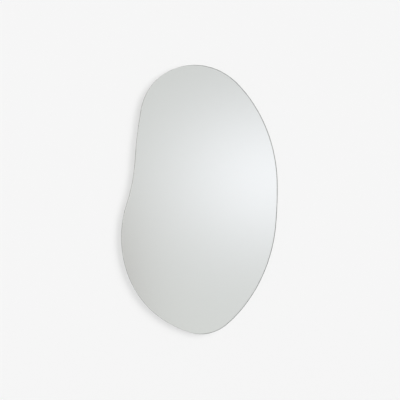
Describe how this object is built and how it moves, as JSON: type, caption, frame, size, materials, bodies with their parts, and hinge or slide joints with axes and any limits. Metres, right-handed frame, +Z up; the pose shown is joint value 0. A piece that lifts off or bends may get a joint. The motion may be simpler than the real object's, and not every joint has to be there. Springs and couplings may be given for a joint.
{
  "type": "irregular wall mirror",
  "caption": "Frameless wall mirror with a pebble outline drawn in at a waist, polished glass edge, set-back fibreboard and hinged D-ring hangers for upright or sideways use.",
  "frame": {"origin": "on the wall plane, midway between the two points where hooks bear in the upright hangers", "axes": "+X to the right seen from the front, +Y from the mirror towards the wall, +Z up; the mirror face looks towards -Y"},
  "size_m": [0.606, 0.0203, 0.8999],
  "materials": {
    "clear_glass": "float glass with a polished edge",
    "mirror_silver": "silvering under grey-green backing paint",
    "safety_film": "translucent film with a fine weave",
    "fibreboard": "raw medium-density fibreboard, sanded",
    "foam_tape": "closed-cell foam",
    "adhesive": "cured mirror adhesive",
    "bumper_rubber": "moulded, satin",
    "zinc_steel": "bright zinc plate on strip",
    "screw_steel": "bright zinc plate",
    "ring_steel": "bright zinc plate on drawn wire"
  },
  "bodies": {
    "root": {"glass_pane": "clear_glass", "silver_coating": "mirror_silver", "safety_film": "safety_film", "backing_board": "fibreboard", "foam_tape_1": "foam_tape", "foam_tape_2": "foam_tape", "foam_tape_3": "foam_tape", "foam_tape_4": "foam_tape", "foam_tape_5": "foam_tape", "adhesive_bead_1": "adhesive", "adhesive_bead_2": "adhesive", "adhesive_bead_3": "adhesive", "adhesive_bead_4": "adhesive", "bumper_upper_left": "bumper_rubber", "bumper_upper_right": "bumper_rubber", "bumper_lower_left": "bumper_rubber", "bumper_lower_right": "bumper_rubber", "portrait_left_hanger_strap": "zinc_steel", "portrait_left_hanger_screws": "screw_steel", "portrait_right_hanger_strap": "zinc_steel", "portrait_right_hanger_screws": "screw_steel", "landscape_upper_hanger_strap": "zinc_steel", "landscape_upper_hanger_screws": "screw_steel", "landscape_lower_hanger_strap": "zinc_steel", "landscape_lower_hanger_screws": "screw_steel"},
    "portrait_left_ring": {"portrait_left_hanger_ring": "ring_steel"},
    "portrait_right_ring": {"portrait_right_hanger_ring": "ring_steel"},
    "landscape_upper_ring": {"landscape_upper_hanger_ring": "ring_steel"},
    "landscape_lower_ring": {"landscape_lower_hanger_ring": "ring_steel"}
  },
  "joints": [
    {"name": "portrait_left_ring_hinge", "type": "hinge", "parent": "root", "child": "portrait_left_ring", "pos_m": [-0.15, -0.00342, -0.014], "axis": [-1, 0, 0], "range_deg": [-2, 172]},
    {"name": "portrait_right_ring_hinge", "type": "hinge", "parent": "root", "child": "portrait_right_ring", "pos_m": [0.15, -0.00342, -0.014], "axis": [-1, 0, 0], "range_deg": [-2, 172]},
    {"name": "landscape_upper_ring_hinge", "type": "hinge", "parent": "root", "child": "landscape_upper_ring", "pos_m": [0.196, -0.00342, -0.08], "axis": [0, 0, 1], "range_deg": [-2, 172]},
    {"name": "landscape_lower_ring_hinge", "type": "hinge", "parent": "root", "child": "landscape_lower_ring", "pos_m": [0.196, -0.00342, -0.38], "axis": [0, 0, 1], "range_deg": [-2, 172]}
  ]
}
